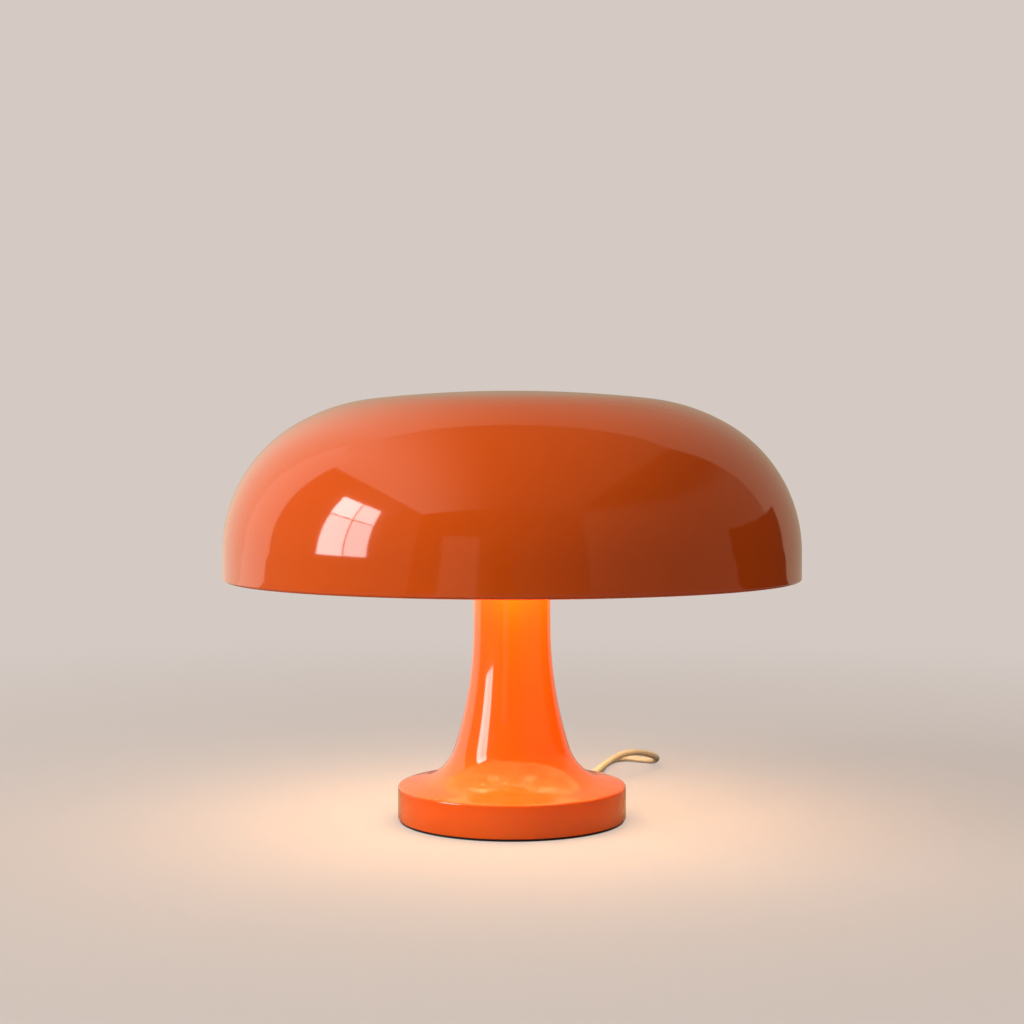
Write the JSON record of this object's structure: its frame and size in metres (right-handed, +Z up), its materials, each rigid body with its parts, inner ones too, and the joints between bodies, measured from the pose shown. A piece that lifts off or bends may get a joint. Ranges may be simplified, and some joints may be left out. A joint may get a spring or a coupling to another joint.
{
  "type": "mushroom table lamp",
  "caption": "Mushroom table lamp with a domed lift-off shade over a slim stem and round base, small globe bulbs, a mains cord with a rocker switch and a two-pin plug",
  "frame": {"origin": "on the table under the lamp's axis, at the bottom centre of the lamp without its cord", "axes": "+Z up along the lamp's axis, -Y towards the viewer, the cord leaves at the back on the +X side"},
  "size_m": [0.32, 0.438, 0.2391],
  "materials": {
    "orange_plastic": "high gloss moulded",
    "white_plastic": "satin moulded",
    "cream_plastic": "soft satin",
    "black_plastic": "fine texture",
    "rubber": "matt",
    "cast_iron": "as cast",
    "steel": "zinc plated",
    "nickel": "nickel plated",
    "brass": "bright",
    "opal_glass": "opal coated"
  },
  "bodies": {
    "lamp": {"body": "orange_plastic", "lamp_carrier": "white_plastic", "shade_post": "white_plastic", "post_screws": "steel", "shade_seat_ring": "rubber", "junction_block": "white_plastic", "hub_leads": "white_plastic", "lampholder_1": "white_plastic", "lampholder_2": "white_plastic", "lampholder_3": "white_plastic", "lampholder_4": "white_plastic", "thread_sleeves": "brass", "centre_contacts": "brass", "bottom_cover": "black_plastic", "cover_screws": "steel", "foot_ring": "rubber", "ballast_weight": "cast_iron", "threaded_tube": "steel", "tube_nuts": "steel", "tube_washers": "steel", "cord_bush": "cream_plastic", "cord_clamp": "white_plastic", "clamp_screws": "steel", "terminal_block": "white_plastic", "terminal_screws": "brass", "cord_cores": "white_plastic", "riser_wires": "white_plastic", "cord_inside": "cream_plastic", "cord_front": "cream_plastic", "cord_link": "cream_plastic", "cord_coil": "cream_plastic", "cord_tail": "cream_plastic", "switch_base": "cream_plastic", "switch_cover": "cream_plastic", "switch_screws": "steel", "switch_contacts": "brass", "plug_body": "cream_plastic", "plug_pins": "brass"},
    "shade_top": {"shade": "orange_plastic"},
    "bulb_1": {"bulb_cap_1": "nickel", "bulb_glass_1": "opal_glass"},
    "bulb_2": {"bulb_cap_2": "nickel", "bulb_glass_2": "opal_glass"},
    "bulb_3": {"bulb_cap_3": "nickel", "bulb_glass_3": "opal_glass"},
    "bulb_4": {"bulb_cap_4": "nickel", "bulb_glass_4": "opal_glass"},
    "rocker": {"switch_rocker": "cream_plastic"}
  },
  "joints": [
    {"name": "shade_lift", "type": "slide", "parent": "lamp", "child": "shade_top", "axis": [0, 0, 1], "range_m": [0, 0.1]},
    {"name": "bulb_1_out", "type": "slide", "parent": "lamp", "child": "bulb_1", "axis": [0.7071, 0.7071, 0], "range_m": [0, 0.03]},
    {"name": "bulb_2_out", "type": "slide", "parent": "lamp", "child": "bulb_2", "axis": [-0.7071, 0.7071, 0], "range_m": [0, 0.03]},
    {"name": "bulb_3_out", "type": "slide", "parent": "lamp", "child": "bulb_3", "axis": [-0.7071, -0.7071, 0], "range_m": [0, 0.03]},
    {"name": "bulb_4_out", "type": "slide", "parent": "lamp", "child": "bulb_4", "axis": [0.7071, -0.7071, 0], "range_m": [0, 0.03]},
    {"name": "rocker_tilt", "type": "hinge", "parent": "lamp", "child": "rocker", "pos_m": [-0.004, 0.095, 0.0102], "axis": [0, 1, 0], "range_deg": [-16, 0]}
  ]
}
